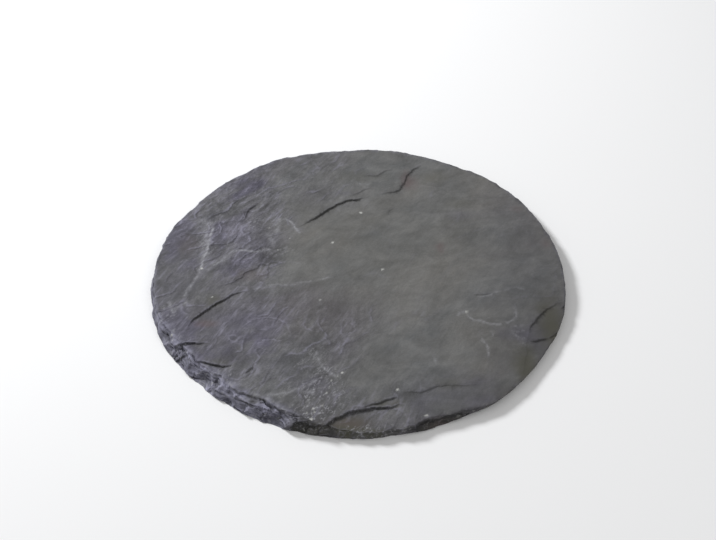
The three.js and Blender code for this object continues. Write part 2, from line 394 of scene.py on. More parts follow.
def facets(x, y, spacing, seed):
    """Flat facets at random tilts and heights, about -1 to 1, meeting at ragged edges."""
    table = np.random.default_rng(seed).random((LATTICE, LATTICE, 5))
    px = x / spacing + 0.35 * noise(x / (0.7 * spacing), y / (0.7 * spacing), 0.5, seed + 1)
    py = y / spacing + 0.35 * noise(x / (0.7 * spacing), y / (0.7 * spacing), 6.5, seed + 2)
    column = np.floor(px).astype(np.int64)
    row = np.floor(py).astype(np.int64)
    best = np.full(x.shape, np.inf)
    value = np.zeros_like(x)
    for i in (-1, 0, 1):
        for j in (-1, 0, 1):
            cell = table[(column + i) % LATTICE, (row + j) % LATTICE]
            dx = px - (column + i + 0.1 + 0.8 * cell[..., 0])
            dy = py - (row + j + 0.1 + 0.8 * cell[..., 1])
            distance = dx * dx + dy * dy
            plane = (2 * cell[..., 2] - 1) * dx + (2 * cell[..., 3] - 1) * dy + 0.7 * (2 * cell[..., 4] - 1)
            closer = distance < best
            best[closer] = distance[closer]
            value[closer] = plane[closer]
    return value


def stray(x, y, sizes, lengths, far, seed):
    """How far a line drawn at each place strays along x and along y, from two noises each."""
    moves = []
    for z, first in ((0.5, seed), (far, seed + 2)):
        slow, quick = (noise(x / length, y / length, z, first + i) for i, length in enumerate(lengths))
        moves.append(sizes[0] * slow + sizes[1] * quick)
    return moves


# ---- paths

def smooth_path(points, spacing=1.5):
    """A path through the points, rounded at its corners (Catmull-Rom), in short runs."""
    p = np.array(points, float)
    ends = np.vstack([2 * p[0] - p[1], p, 2 * p[-1] - p[-2]])
    out = []
    for a, b, c, d in zip(ends, ends[1:], ends[2:], ends[3:]):
        count = max(2, int(np.hypot(*(c - b)) / spacing))
        for t in np.linspace(0, 1, count, endpoint=False):
            out.append(0.5 * (2 * b + (c - a) * t + (2 * a - 5 * b + 4 * c - d) * t**2
                              + (3 * b - a - 3 * c + d) * t**3))
    out.append(p[-1])
    return np.array(out)


def beside_path(x, y, points, margin):
    """For the places within the margin of a path: their indices, their signed distance to its
    left, and how far along it their nearest point is, 0 to 1."""
    path = smooth_path(points)
    low = path.min(0) - margin
    high = path.max(0) + margin
    near = np.flatnonzero((x > low[0]) & (x < high[0]) & (y > low[1]) & (y < high[1]))
    px = x[near]
    py = y[near]
    runs = np.diff(path, axis=0)
    lengths = np.hypot(runs[:, 0], runs[:, 1])
    walked = np.concatenate([[0], np.cumsum(lengths)])
    normals = np.stack([-runs[:, 1], runs[:, 0]], 1) / lengths[:, None]
    corner = np.vstack([normals[:1], normals[:-1] + normals[1:], normals[-1:]])
    corner /= np.linalg.norm(corner, axis=1, keepdims=True)
    best = np.full(near.size, np.inf)
    side = np.zeros(near.size)
    along = np.zeros(near.size)
    for i, run in enumerate(runs):
        ox = px - path[i, 0]
        oy = py - path[i, 1]
        share = np.clip((ox * run[0] + oy * run[1]) / lengths[i] ** 2, 0, 1)
        dx = ox - share * run[0]
        dy = oy - share * run[1]
        distance = dx * dx + dy * dy
        closer = distance < best
        best[closer] = distance[closer]
        nx = lerp(corner[i, 0], corner[i + 1, 0], share[closer])
        ny = lerp(corner[i, 1], corner[i + 1, 1], share[closer])
        side[closer] = dx[closer] * nx + dy[closer] * ny
        along[closer] = (walked[i] + share[closer] * lengths[i]) / walked[-1]
    signed = np.sqrt(best) * np.where(side < 0, -1, 1)
    return near, signed, along


# ---- the cleaved top

def cleavage_roughness(x, y):
    """How rough the cleavage is, 0 to 1: strong on the left, about half that at the lower left,
    along the front and at the back left, and weak elsewhere."""
    drift = layered_noise(x / 40, y / 40, 3.3, 71, 3)
    left = smoothstep(-44, -80, x + 26 * drift)
    left = left * lerp(1, 0.65, smoothstep(10, -25, y + 0.5 * (x + 60)))
    lower = 0.5 * smoothstep(75, 35, np.hypot((x + 60) / 1.2, y + 70) + 20 * drift)
    front = 0.45 * smoothstep(-90, -125, y + 25 * drift) * smoothstep(60, 20, x)
    back = 0.4 * smoothstep(60, 100, y + 25 * drift) * smoothstep(20, -30, x)
    return np.maximum(np.maximum(left, lower), np.maximum(front, back))


def grain_axes(x, y):
    """Coordinates along and across the slate's lineation."""
    turn = math.radians(LINEATION_HEADING)
    return x * math.cos(turn) + y * math.sin(turn), -x * math.sin(turn) + y * math.cos(turn)


def from_marks_origin(x, y):
    """The same places, measured from the point the marks are placed from."""
    return x - MARKS_ORIGIN[0], y - MARKS_ORIGIN[1]


def step_relief(x, y):
    """Height of all the split steps, where their faces are, which get painted shade, and where
    the low ground below them is laid bare, the last two 0 to 1."""
    x, y = from_marks_origin(x, y)
    stray_x, stray_y = stray(x, y, (0.9, 0.45), (7, 2.4), 7.5, 11)
    height = np.zeros_like(x)
    face = np.zeros_like(x)
    bare = np.zeros_like(x)
    for name, (drop, reach, taper, points) in STEPS.items():
        margin = min(reach, 60) + 4
        near, left, _ = beside_path(x + stray_x, y + stray_y, points, margin)
        first, last = np.array(points[0]), np.array(points[-1])
        chord = last - first
        share = ((x[near] - first[0]) * chord[0] + (y[near] - first[1]) * chord[1]) / (chord @ chord)
        ends = smoothstep(0, taper[0], share) * smoothstep(0, taper[1], 1 - share)
        rise = 1 - smoothstep(reach * 0.1, reach, -left)
        fall = smoothstep(STEP_FACE / 2, -STEP_FACE / 2, left)
        height[near] -= drop * ends * rise * fall
        if name in BARE_STEPS:
            bare[near] = np.maximum(bare[near], ends * fall * smoothstep(reach, reach / 2, -left))
        # Painted shade along the face of the step
        edge = np.exp(-((left + STEP_FACE / 2) / STEP_FACE) ** 2) * ends * min(1.0, abs(drop))
        face[near] = np.maximum(face[near], edge)
    return height, face, bare


def sheets(x, y, seed, period, wander, sharpness):
    """Thin sheets of cleavage, one leaning on the next: each rises slowly towards its edge,
    at the front right, and drops there. Gives the height from -0.5 to 0.5, and how near a
    place is to a sheet's lip and to the foot below it, 0 to 1, for a painted highlight on the
    lip and a painted shadow at the foot."""
    turn = math.radians(SHEET_HEADING)
    ramp = (math.sin(turn) * x - math.cos(turn) * y) / period
    ramp = ramp + wander * layered_noise(x / (1.6 * period), y / (1.6 * period), 0.5, seed, 3, 0.45)
    ramp = ramp + 0.05 * noise(x / 2.2, y / 2.2, 0.5, seed + 9)
    part = ramp - np.floor(ramp)
    lip = smoothstep(1 - sharpness - 2.4 / period, 1 - sharpness, part)
    lip = lip * smoothstep(1, 1 - sharpness, part)
    foot = np.maximum(smoothstep(1 - 0.5 * sharpness, 1, part), smoothstep(1.2 / period, 0, part))
    return part - 0.5 - smoothstep(1 - sharpness, 1, part), lip, foot


def thinning(x, y):
    """How much the slab has lost in thickness near its thin side."""
    share = np.clip((np.hypot(x, y) - RADIUS) / THINNING_REACH + 1, 0, 1)
    return around(THINNING, np.degrees(np.arctan2(y, x))) * share * share


def top_height(x, y):
    """Height of the cleaved top above the underside, where its step faces are (for painted shade)
    and where its bare ground is, and where the lip and foot of each thin sheet are (for a painted
    highlight and a painted shadow)."""
    height = np.full_like(x, THICKNESS)
    for length, heading, size, shift in WAVES:
        turn = math.radians(heading)
        distance = x * math.cos(turn) + y * math.sin(turn)
        height += size * (np.sin(2 * np.pi * distance / length + shift) - 1)
    rough = cleavage_roughness(x, y)
    height += 0.20 * noise(x / 46, y / 46, 0.5, 31) + 0.10 * noise(x / 17, y / 17, 0.5, 32)
    height += lerp(0.03, 0.12, rough) * noise(x / 9, y / 9, 0.5, 35)
    lip_highlights = np.zeros_like(x)
    foot_shadows = np.zeros_like(x)
    for sheet in TOP_SHEETS:
        relief, lip, foot = sheets(x, y, *sheet["shape"])
        size = lerp(sheet["smooth"], sheet["rough"], rough)
        if "patches" in sheet:
            length, seed, start, whole = sheet["patches"]
            size = size * smoothstep(start, whole, noise(x / length, y / length, 0.5, seed))
        height += size * relief
        # Lip and foot of each sheet, for its painted highlight and painted shadow
        lip_highlights = np.maximum(lip_highlights, lip * size / MARKED_SHEET)
        foot_shadows = np.maximum(foot_shadows, foot * size / MARKED_SHEET)
    along, across = grain_axes(x, y)
    height += lerp(0.012, 0.05, rough) * layered_noise(along / 14, across / 4, 0.5, 47, 3, 0.6)
    height += lerp(0.012, 0.06, rough) * layered_noise(x / 5, y / 5, 0.5, 51, 4, 0.6)
    steps, face, bare = step_relief(x, y)
    rubble = 0.6 * facets(x, y, 4, 215) + 0.3 * noise(x / 1.7, y / 1.7, 0.5, 217) - 0.3
    height += steps + bare * rubble
    return height - TOP_SINK - thinning(x, y), face, bare, lip_highlights, foot_shadows


# ---- the rim

def cad_tree():
    """The CAD solid, ready for rays."""
    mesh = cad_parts[NODE].data
    mesh.calc_loop_triangles()
    points = [v.co.copy() for v in mesh.vertices]
    return BVHTree.FromPolygons(points, [tuple(t.vertices) for t in mesh.loop_triangles])


def outline_radius(degrees):
    """The CAD solid's widest radius, found by rays from outside towards the axis, with its
    corners worn round."""
    tree = cad_tree()
    sights = np.arange(0, 360, SIGHT_SPACING)
    radii = np.zeros_like(sights)
    for height in SIGHT_HEIGHTS:
        for i, turn in enumerate(np.radians(sights)):
            outward = Vector((math.cos(turn), math.sin(turn), 0))
            start = outward * 2 * RADIUS * MM + Vector((0, 0, height * MM))
            hit = tree.ray_cast(start, -outward)[0]
            if hit is not None:
                radii[i] = max(radii[i], hit.xy.length / MM)
    shifts = range(-CORNER_WEAR, CORNER_WEAR + 1)
    worn = sum(np.roll(radii, shift) for shift in shifts) / len(shifts)
    return around(list(zip(sights, worn)), degrees)


def rim_profile(share):
    """The rim's three profiles, that share of the way down the chipped edge."""
    return [np.interp(share, RIM_MARKS, profile) for profile in (BAND_LEFT, FOOT_IN, HEIGHT_LEFT)]


def make_chips():
    """Scoops struck off the edge: degrees, width, depth, how far down the band, and lean."""
    rng = np.random.default_rng(CHIP_SEED)
    chips = []
    for start, end, spacing, widths, depths, downs, leans in CHIP_RUNS:
        length = math.radians(end - start) * RADIUS
        for i in range(int(length / spacing)):
            shift = rng.uniform(-0.45, 0.45)
            degrees = start + (i + 0.5 + shift) * math.degrees(spacing / RADIUS)
            width = rng.uniform(*widths)
            depth = rng.uniform(*depths) * (width / widths[1]) ** 0.5
            down = rng.uniform(*downs)
            lean = rng.uniform(-1, 1) * leans
            chips.append((degrees, width, depth, down, lean))
    return chips


def strike(points, chips, edge_at):
    """Pushes the points inside each chip's ball out to its surface, which leaves a scoop, and
    gives how deeply each point was struck, 0 to 1."""
    struck = np.zeros(len(points))
    for degrees, width, depth, down, lean in chips:
        turn = math.radians(degrees)
        outer, band, foot, high = edge_at(degrees)
        band_left, foot_in, height = (float(v) for v in rim_profile(down))
        radius = outer - band * band_left - foot * foot_in
        slope = math.atan2(band, high) + lean
        level = math.cos(slope)
        outward = np.array([math.cos(turn) * level, math.sin(turn) * level, math.sin(slope)])
        ball = (width * width / 4 + depth * depth) / (2 * depth)
        middle = np.array([radius * math.cos(turn), radius * math.sin(turn), high * height])
        centre = middle + outward * (ball - depth)
        near = np.flatnonzero(np.abs(points[:, 0] - centre[0]) < ball)
        near = near[np.abs(points[near, 1] - centre[1]) < ball]
        offset = points[near] - centre
        distance = np.linalg.norm(offset, axis=1)
        inside = distance < ball
        near = near[inside]
        points[near] = centre + offset[inside] * (ball / distance[inside])[:, None]
        struck[near] = np.maximum(struck[near], (ball - distance[inside]) / depth)
    return np.clip(struck, 0, 1)


# ---- the slab's mesh

def stitch(inner, outer, triangles):
    """Joins two neighbouring closed rings of point numbers with one band of triangles."""
    i = 0
    j = 0
    n = len(outer)
    m = len(inner)
    while i < n or j < m:
        if (i + 1) * m <= (j + 1) * n:
            if n > 1:
                triangles.append((outer[i], outer[(i + 1) % n], inner[j % m]))
            i += 1
        else:
            if m > 1:
                triangles.append((outer[i % n], inner[(j + 1) % m], inner[j]))
            j += 1


def edge_facts():
    """A function that gives, at any angle, the outline's radius, the chipped band's width, the
    foot's inset and the height of the top's edge."""
    fine = np.arange(0, 360, 0.1)
    x = RADIUS * np.cos(np.radians(fine))
    y = RADIUS * np.sin(np.radians(fine))
    ragged = 0.4 * around(WALL_ROUGHNESS, fine) * layered_noise(x / 7, y / 7, 4.4, 61, 4, 0.65)
    outer = outline_radius(fine) - SIDE_GAP + ragged
    band = around(BAND_WIDTHS, fine) * (1 + 0.45 * layered_noise(x / 13, y / 13, 2.2, 66, 3, 0.6))
    foot = around(FOOT_INSETS, fine) * (1 + 0.3 * noise(x / 12, y / 12, 2.2, 67))
    edge = (outer - band) / RADIUS
    height = top_height(edge * x, edge * y)[0]
    closed = [np.append(v, v[0]) for v in (outer, band, foot, height)]
    turns = np.append(fine, 360)
    return lambda degrees: [np.interp(np.mod(degrees, 360), turns, v) for v in closed]


def underside_relief(x, y, inward):
    """The riven underside rests on its lowest spots and is hollow by less than a millimetre."""
    broad = 0.35 * sheets(x, -y, 81, 40, 2.4, 0.03)[0]
    narrow = 0.15 * sheets(x, -y, 82, 13, 2.2, 0.08)[0]
    relief = broad + narrow + 0.25 * layered_noise(x / 34, y / 34, 0.5, 84, 4)
    shown = smoothstep(0, 0.08, inward)
    return np.maximum(relief + 0.22, 0) * shown + FOOT_GAP * (1 - shown)


def slab_mesh():
    """The whole surface as rings: the cleaved top, the chipped edge and the underside. Gives
    its points, its triangles, masks for its finish and which points are the underside's."""
    counts = [1] + [6 * k for k in range(1, TOP_RINGS + 1)]
    rim_start = len(counts)
    counts += [RIM_POINTS] * RIM_ROWS
    under_start = len(counts)
    for k in range(1, UNDERSIDE_RINGS):
        counts.append(max(6, round(RIM_POINTS * (1 - k / UNDERSIDE_RINGS) / 6) * 6))
    counts.append(1)
    starts = np.concatenate([[0], np.cumsum(counts)])
    ring_of = np.repeat(np.arange(len(counts)), counts)
    degrees = 360.0 * (np.arange(starts[-1]) - starts[ring_of]) / np.array(counts)[ring_of]
    top = ring_of < rim_start
    under = ring_of >= under_start
    rim = ~top & ~under
    edge_at = edge_facts()
    outer, band, foot, high = edge_at(degrees)

    down = np.clip((ring_of - rim_start + 1) / RIM_ROWS, 0, 1)
    inward = np.clip((ring_of - under_start + 1) / UNDERSIDE_RINGS, 0, 1)
    band_left, foot_in, height = rim_profile(down)
    radius = (outer - band * band_left - foot * foot_in) * np.where(top, ring_of / TOP_RINGS, 1 - inward)
    x = radius * np.cos(np.radians(degrees))
    y = radius * np.sin(np.radians(degrees))
    z = lerp(FOOT_GAP, high, height)
    # The lip mask carries a painted highlight, the foot mask a painted shadow, the step face mask painted
    # shade
    masks = {name: np.zeros(len(x)) for name in ("step_face_shade", "bare", "lip", "foot")}
    z[top], *shown = top_height(x[top], y[top])
    for name, values in zip(masks, shown):
        masks[name][top] = values
    z[under] = underside_relief(x[under], y[under], inward[under])

    points = np.stack([x, y, z], 1)
    struck = strike(points, make_chips(), edge_at)
    broken = np.clip(np.where(rim, smoothstep(0, 0.08, down), 1.5 * struck), 0, 1)
    sloped = smoothstep(2.5, 7, band)
    points = layer_band(points, broken * sloped * ~under, high)
    points = layer_wall(points, broken * ~under)
    points[:, 2] = np.clip(points[:, 2], UNDERSIDE_GAP, THICKNESS - TOP_GAP)

    triangles = []
    rings = [list(range(a, b)) for a, b in zip(starts, starts[1:])]
    for inner, outside in zip(rings, rings[1:]):
        stitch(inner, outside, triangles)
    masks["step_face_shade"][rim], masks["bare"][rim] = step_relief(x[rim], y[rim])[1:]
    past_edge = np.hypot(x, y) - outer + band
    frayed, worn = top_wear(x, y, past_edge, band, degrees)
    masks["broken"] = np.maximum.reduce([broken, 0.9 * masks["bare"], frayed * top, 0.8 * (worn * top)])
    masks["low"] = np.where(rim, down, 0) * smoothstep(4, 8, band)
    return points, np.array(triangles), masks, under


def top_wear(x, y, past_edge, band, degrees):
    """Where the top is frayed beside a wide chipped band, and where it is worn near its edge,
    0 to 1."""
    fray = past_edge + 7 * layered_noise(x / 12, y / 12, 0.5, 221, 4, 0.6)
    reach = around(WORN_EDGE, degrees)
    wear = past_edge + 0.8 * reach * noise(x / 4, y / 4, 0.5, 231)
    return smoothstep(-7, 5, fray) * smoothstep(5, 9, band), smoothstep(-reach, 0, wear)


def layer_band(points, weight, high):
    """Breaks a sloped face back into flat facets, and along its layers: level treads whose
    edges wander."""
    x, y, z = points.T
    moved = points.copy()
    arc = RADIUS * np.arctan2(y, x) / 1.8
    inset = RADIUS - np.hypot(x, y)
    field = z + 1.4 * facets(arc, inset, 8, 201) + 0.45 * facets(arc, inset, 3.4, 211)
    field = field + 0.4 * noise(x / 5, y / 5, 0.5, 91) + step_relief(x, y)[0]
    for layer, strength in [(1.6, 0.45), (0.55, 0.45)]:
        level = field / layer
        whole = np.floor(level)
        tread = layer * (whole + smoothstep(0.5, 0.95, level - whole))
        field = lerp(field, tread, strength)
    field = np.clip(field, FOOT_GAP, high)
    foot_fade = smoothstep(0.4, 2.0, z)
    moved[:, 2] = lerp(z, field, weight * foot_fade)
    return moved


def layer_wall(points, weight):
    """Lets each thin layer stand in or out a little by itself on the steep broken edge."""
    x, y, z = points.T
    out = points[:, :2] / np.maximum(np.linalg.norm(points[:, :2], axis=1, keepdims=True), 1e-6)
    drift = 0.25 * noise(x / 30, y / 30, 1.1, 101)
    moved = points.copy()
    push = 0.2 * layered_noise(x / 5, y / 5, z / 3, 106, 3, 0.6)
    for seed, layer, size, grain in [(103, 1.4, 0.65, 12.0), (104, 0.6, 0.3, 5.0)]:
        level = (z + drift) / layer
        whole = np.floor(level)
        here = noise(x / grain, y / grain, whole * 3.7 + 0.5, seed)
        following = noise(x / grain, y / grain, (whole + 1) * 3.7 + 0.5, seed)
        push = push + size * lerp(here, following, smoothstep(0.75, 1.0, level - whole))
    push *= around(WALL_ROUGHNESS, np.degrees(np.arctan2(y, x)))
    moved[:, :2] += out * (push * weight)[:, None]
    return moved


def smooth_over(values, triangles, rounds):
    """Each point's value averaged with its neighbours', so many times over."""
    a = triangles[:, [0, 1, 2]].ravel()
    b = triangles[:, [1, 2, 0]].ravel()
    count = len(values)
    degree = np.bincount(a, minlength=count) + np.bincount(b, minlength=count)
    for _ in range(rounds):
        columns = [np.bincount(a, values[b, i], count) + np.bincount(b, values[a, i], count)
                   for i in range(values.shape[1])]
        values = np.stack(columns, 1) / degree[:, None]
    return values


def blot(x, y, patch_list, seed):
    """Soft patches with ragged edges, for rust, olive, lilac, frosting and painted shade, each from 0 to
    its strength, added up.
    """
    x, y = from_marks_origin(x, y)
    ragged = layered_noise(x / 9, y / 9, 0.5, seed, 4, 0.6)
    total = np.zeros_like(x)
    for centre_x, centre_y, reach_x, reach_y, strength in patch_list:
        distance = np.hypot((x - centre_x) / reach_x, (y - centre_y) / reach_y)
        total += strength * smoothstep(1.5, 0.1, distance + 0.7 * ragged)
    return total


def bruise_mask(x, y):
    """Pale scratches and veins, and painted highlights, 0 to 1."""
    x, y = from_marks_origin(x, y)
    stray_x, stray_y = stray(x, y, (0.8, 0.3), (6, 2), 5.5, 111)
    patchy = lerp(0.4, 1, smoothstep(-0.7, 0.2, noise(x / 5, y / 5, 0.5, 115))
                  * smoothstep(-1.1, 0.1, noise(x / 2.2, y / 2.2, 0.5, 116)))
    mask = np.zeros_like(x)
    for strength, width, points in BRUISES_AND_HIGHLIGHTS:
        near, left, along = beside_path(x + stray_x, y + stray_y, points, 5)
        ends = smoothstep(0, 0.12, along) * smoothstep(0, 0.12, 1 - along)
        line = np.exp(-(left / width) ** 2) * ends * patchy[near] * strength
        mask[near] = np.maximum(mask[near], line)
    return mask


def speck_mask(x, y):
    """Bright specks, 0 to 1."""
    x, y = from_marks_origin(x, y)
    mask = np.zeros_like(x)
    for speck_x, speck_y, size in SPECKS:
        ragged = 0.5 * size * noise(x / 1.1, y / 1.1, 0.5, 161)
        spot = smoothstep(size * 0.9, size * 0.3, np.hypot(x - speck_x, y - speck_y) + ragged)
        mask = np.maximum(mask, spot * min(1.0, 0.75 * size))
    return mask


def new_object(name, data):
    """An object made of the data, in the scene."""
    made = bpy.data.objects.new(name, data)
    bpy.context.scene.collection.objects.link(made)
    return made


def build_slab():
    """The visible stone, with what its finish needs to know stored on its points."""
    points, triangles, masks, under = slab_mesh()
    mesh = bpy.data.meshes.new("riven_slate")
    mesh.from_pydata((points * MM).tolist(), [], triangles.tolist())
    mesh.update()

    normals = np.zeros(len(points) * 3, np.float32)
    mesh.vertex_normals.foreach_get("vector", normals)
    normals = normals.reshape(-1, 3)
    x, y = points[:, 0], points[:, 1]
    near = ((smooth_over(points, triangles, RIDGE_ROUNDS) - points) * normals).sum(1)
    # Hollows get painted shade in the finish
    wide = ((smooth_over(points, triangles, HOLLOW_ROUNDS) - points) * normals).sum(1)
    ridge = np.clip(-near / FULL_RIDGE, -1, 1)
    hollow = np.clip(wide / FULL_HOLLOW, -1, 1)
    bruise = np.where(under, 0, bruise_mask(x, y))
    speck = np.where(under, 0, speck_mask(x, y))

    masks.update(ridge=ridge, hollow=hollow, bruise=bruise, speck=speck)
    # Stains, frosting and the painted shade patches, as masks
    for name, (patch_list, seed) in STAIN_AND_SHADE_PATCHES.items():
        masks[name] = np.where(under, 0, blot(x, y, patch_list, seed))
    masks["rough"] = cleavage_roughness(x, y)
    # How pale the broken stone is round the edge: partly its own colour, partly painted light and shade
    pale_and_lit = around(EDGE_PALENESS_AND_LIGHT, np.degrees(np.arctan2(y, x)))
    masks["pale_break_and_light"] = pale_and_lit * (1 - np.clip(masks["bare"], 0, 1))
    for name, mask in masks.items():
        attribute = mesh.attributes.new(name, "FLOAT", "POINT")
        attribute.data.foreach_set("value", mask.astype(np.float32))

    slab = new_object("slate", mesh)
    if len(triangles) > TRIANGLE_LIMIT:
        group = slab.vertex_groups.new(name="keep")
        kept = np.flatnonzero(np.maximum(bruise, speck) > KEPT_MARK).tolist()
        group.add(kept, 1.0, "ADD")
        thin = slab.modifiers.new("thin_out", "DECIMATE")
        thin.ratio = TRIANGLE_LIMIT / len(triangles)
        thin.vertex_group = "keep"
        thin.vertex_group_factor = KEPT_FIRMLY
        thin.invert_vertex_group = True
        apply_modifiers(slab)
    slab.data.shade_smooth()
    slab.data.set_sharp_from_angle(angle=math.radians(SHARP_ANGLE))
    return slab


def apply_modifiers(piece):
    """Puts the piece's finished mesh in the place of its first one."""
    graph = bpy.context.evaluated_depsgraph_get()
    finished = bpy.data.meshes.new_from_object(piece.evaluated_get(graph))
    piece.modifiers.clear()
    piece.vertex_groups.clear()
    piece.data = finished


# ---- the slate's finish

class Nodes:
    """Short calls for building one node material."""

    def __init__(self, name):
        self.material = bpy.data.materials.new(name)
        self.material.use_nodes = True
        self.tree = self.material.node_tree
        self.shader = self.tree.nodes["Principled BSDF"]

    def plug(self, socket, value):
        if isinstance(value, bpy.types.NodeSocket):
            self.tree.links.new(value, socket)
        else:
            socket.default_value = value

    def finish(self, name, value):
        """Puts a value, or what a node gives, on the shader."""
        self.plug(self.shader.inputs[name], value)

    def node(self, kind, output, inputs, **settings):
        """A new node with its settings made and its inputs filled; gives the named output."""
        node = self.tree.nodes.new(kind)
        for name, value in settings.items():
            setattr(node, name, value)
        for name, value in inputs.items():
            self.plug(node.inputs[name], value)
        return node.outputs[output]

    def attribute(self, name):
        return self.node("ShaderNodeAttribute", "Fac", {}, attribute_name=name)

    def place(self):
        return self.node("ShaderNodeTexCoord", "Object", {})

    def math(self, operation, a, b=0.0, clamp=False):
        return self.node("ShaderNodeMath", 0, {0: a, 1: b}, operation=operation, use_clamp=clamp)

    def times(self, a, b, clamp=False):
        return self.math("MULTIPLY", a, b, clamp)

    def vector(self, operation, a, b):
        return self.node("ShaderNodeVectorMath", 0, {0: a, 1: b}, operation=operation)

    def span(self, value, low, high, to_low=0.0, to_high=1.0):
        """The value's place between low and high, carried over to another span."""
        return self.node("ShaderNodeMapRange", "Result", {
            "Value": value, "From Min": low, "From Max": high, "To Min": to_low, "To Max": to_high})

    def mix(self, factor, a, b, blend="MIX"):
        return self.node("ShaderNodeMix", "Result", {"Factor": factor, "A": a, "B": b},
                         data_type="RGBA", blend_type=blend)

    def dim(self, tone, share):
        return self.mix(1.0, tone, share, "MULTIPLY")

    def stretched(self, turn, scale, place=None):
        """Places turned about Z and scaled, one unit per metre before scaling."""
        spun = self.node("ShaderNodeVectorRotate", 0, {
            "Vector": place or self.place(), "Angle": -math.radians(turn)}, rotation_type="Z_AXIS")
        return self.vector("MULTIPLY", spun, scale)

    def warped(self, turn, scale, reach):
        """Stretched places, first pushed about by slow noise so that streaks bend."""
        place = self.place()
        drift = self.node("ShaderNodeTexNoise", "Color", {"Vector": place, "Scale": 22.0, "Detail": 2.0})
        centred = self.vector("SUBTRACT", drift, (0.5, 0.5, 0.5))
        pushed = self.vector("ADD", place, self.vector("MULTIPLY", centred, (reach, reach, reach)))
        return self.stretched(turn, scale, pushed)

    def noise(self, vector, detail=4.0, roughness=0.55, distortion=0.0):
        return self.node("ShaderNodeTexNoise", "Fac", {
            "Vector": vector, "Scale": 1.0, "Detail": detail, "Roughness": roughness,
            "Distortion": distortion})

    def bump(self, height, distance, below=None):
        """A bump, laid over the one below it where there is one."""
        inputs = {"Height": height, "Distance": distance}
        if below is not None:
            inputs["Normal"] = below
        return self.node("ShaderNodeBump", "Normal", inputs)


SLATE = (0.116, 0.115, 0.112, 1)
WARM_SLATE = (0.125, 0.121, 0.114, 1)
COOL_SLATE = (0.108, 0.110, 0.111, 1)
# Lilac stone, kept dark partly as painted shade for the dimmer light at the left
LILAC_SLATE = (0.095, 0.090, 0.122, 1)
# Pale lilac of fibres and chalky ridges, also used as the painted highlight on each sheet's lip
PALE_LILAC_AND_HIGHLIGHT = (0.215, 0.208, 0.262, 1)
# Colour of painted shade and painted shadow
PAINTED_SHADE_TONE = (0.055, 0.053, 0.060, 1)
# Dark broken stone, made darker as painted shade for the shadowed front-right edge
DARK_BREAK_AND_SHADE = (0.043, 0.042, 0.037, 1)
PALE_BREAK = (0.180, 0.178, 0.230, 1)
FLECK = (0.27, 0.27, 0.26, 1)
# Pale colour of bruises and frosting, also of painted highlights
BRUISED_AND_HIGHLIGHT = (0.32, 0.32, 0.345, 1)
CRYSTAL = (0.44, 0.44, 0.42, 1)
RUST = (0.105, 0.074, 0.074, 1)
OLIVE = (0.068, 0.066, 0.050, 1)
# Colour of painted shade in hollows and on step faces
RECESS_SHADE = (0.022, 0.022, 0.023, 1)


